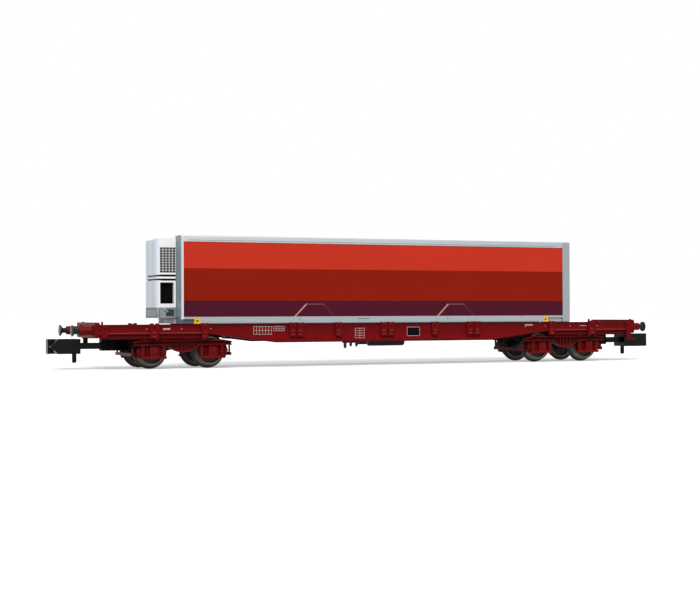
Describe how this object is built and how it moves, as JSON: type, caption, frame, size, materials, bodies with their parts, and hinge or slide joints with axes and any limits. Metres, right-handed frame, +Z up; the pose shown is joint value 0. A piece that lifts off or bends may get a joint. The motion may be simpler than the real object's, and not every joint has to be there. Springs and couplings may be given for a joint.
{
  "type": "n gauge model container flatcar with refrigerated container",
  "caption": "Model bogie flatcar with swivelling bogies, turning wheelsets and swinging hook couplers, carrying a banded refrigerated swap container with a cooling unit on one end.",
  "frame": {"origin": "on the floor under the middle of the wagon, at the height of the wheels' flange tips", "axes": "+X along the wagon to the container's door end, +Y across it to the far side, +Z up"},
  "size_m": [0.1298, 0.0166, 0.0249],
  "materials": {
    "frame_red": "satin wine-red moulding",
    "bogie_red": "satin wine-red moulding",
    "wheel_metal": "browned metal with bright treads",
    "axle_metal": "turned steel",
    "coupler_black": "black moulding",
    "buffer_grey": "dark grey moulding",
    "container_silver": "painted silver, satin",
    "container_red": "three printed bands: red, brick red, purple",
    "container_white": "satin white",
    "casting_yellow": "yellow paint",
    "unit_white": "satin white",
    "unit_grey": "mid grey",
    "unit_dark": "dark inside of the grilles",
    "brake_dark": "black moulding",
    "screw_metal": "turned brass"
  },
  "bodies": {
    "bogie_left": {"bogie_left_side_frames": "bogie_red", "bogie_left_bolster": "bogie_red", "bogie_left_axle_boxes": "bogie_red", "bogie_left_springs": "bogie_red", "bogie_left_brake_beams": "bogie_red"},
    "wheelset_left_outer": {"wheels_left_outer": "wheel_metal", "axle_left_outer": "axle_metal"},
    "wheelset_left_inner": {"wheels_left_inner": "wheel_metal", "axle_left_inner": "axle_metal"},
    "coupler_left": {"coupler_arm_left": "coupler_black", "coupler_head_left": "coupler_black"},
    "wagon": {"headstock_left": "frame_red", "end_deck_left": "frame_red", "headstock_right": "frame_red", "end_deck_right": "frame_red", "side_sill_near": "frame_red", "stakes_near": "frame_red", "container_side_near": "container_red", "container_door_near": "container_white", "side_sill_far": "frame_red", "stakes_far": "frame_red", "container_side_far": "container_red", "container_door_far": "container_white", "centre_sill": "frame_red", "cross_beams": "frame_red", "container_pads": "frame_red", "corner_plates": "frame_red", "brake_levers": "bogie_red", "air_tank": "brake_dark", "brake_cylinder": "brake_dark", "buffer_heads": "buffer_grey", "pivot_screws": "screw_metal", "container_front_posts": "container_silver", "container_rear_posts": "container_silver", "container_bottom_rails": "container_silver", "container_top_rails": "container_silver", "container_headers": "container_silver", "container_end_sills": "container_silver", "container_castings": "casting_yellow", "container_roof": "container_white", "container_floor": "container_silver", "container_front_wall": "container_white", "container_lock_rods": "container_silver", "unit_core": "unit_dark", "unit_upper_cover": "unit_white", "unit_lower_cover": "unit_white", "unit_band": "unit_white", "unit_base": "unit_grey"},
    "bogie_right": {"bogie_right_side_frames": "bogie_red", "bogie_right_bolster": "bogie_red", "bogie_right_axle_boxes": "bogie_red", "bogie_right_springs": "bogie_red", "bogie_right_brake_beams": "bogie_red"},
    "wheelset_right_outer": {"wheels_right_outer": "wheel_metal", "axle_right_outer": "axle_metal"},
    "wheelset_right_inner": {"wheels_right_inner": "wheel_metal", "axle_right_inner": "axle_metal"},
    "coupler_right": {"coupler_arm_right": "coupler_black", "coupler_head_right": "coupler_black"}
  },
  "joints": [
    {"name": "bogie_left_swivel", "type": "hinge", "parent": "wagon", "child": "bogie_left", "pos_m": [-0.0412, 0, 0.0047], "axis": [0, 0, 1], "range_deg": [-12.5, 12.5]},
    {"name": "wheelset_left_outer_spin", "type": "hinge", "parent": "bogie_left", "child": "wheelset_left_outer", "pos_m": [-0.04682, 0, 0.0033], "axis": [0, 1, 0], "continuous": true},
    {"name": "wheelset_left_inner_spin", "type": "hinge", "parent": "bogie_left", "child": "wheelset_left_inner", "pos_m": [-0.03558, 0, 0.0033], "axis": [0, 1, 0], "continuous": true},
    {"name": "coupler_left_swing", "type": "hinge", "parent": "wagon", "child": "coupler_left", "pos_m": [-0.05233, 0, 0.0045], "axis": [0, 0, 1], "range_deg": [-15, 15]},
    {"name": "bogie_right_swivel", "type": "hinge", "parent": "wagon", "child": "bogie_right", "pos_m": [0.0412, 0, 0.0047], "axis": [0, 0, 1], "range_deg": [-12.5, 12.5]},
    {"name": "wheelset_right_outer_spin", "type": "hinge", "parent": "bogie_right", "child": "wheelset_right_outer", "pos_m": [0.04682, 0, 0.0033], "axis": [0, 1, 0], "continuous": true},
    {"name": "wheelset_right_inner_spin", "type": "hinge", "parent": "bogie_right", "child": "wheelset_right_inner", "pos_m": [0.03558, 0, 0.0033], "axis": [0, 1, 0], "continuous": true},
    {"name": "coupler_right_swing", "type": "hinge", "parent": "wagon", "child": "coupler_right", "pos_m": [0.05233, 0, 0.0045], "axis": [0, 0, 1], "range_deg": [-15, 15]}
  ]
}
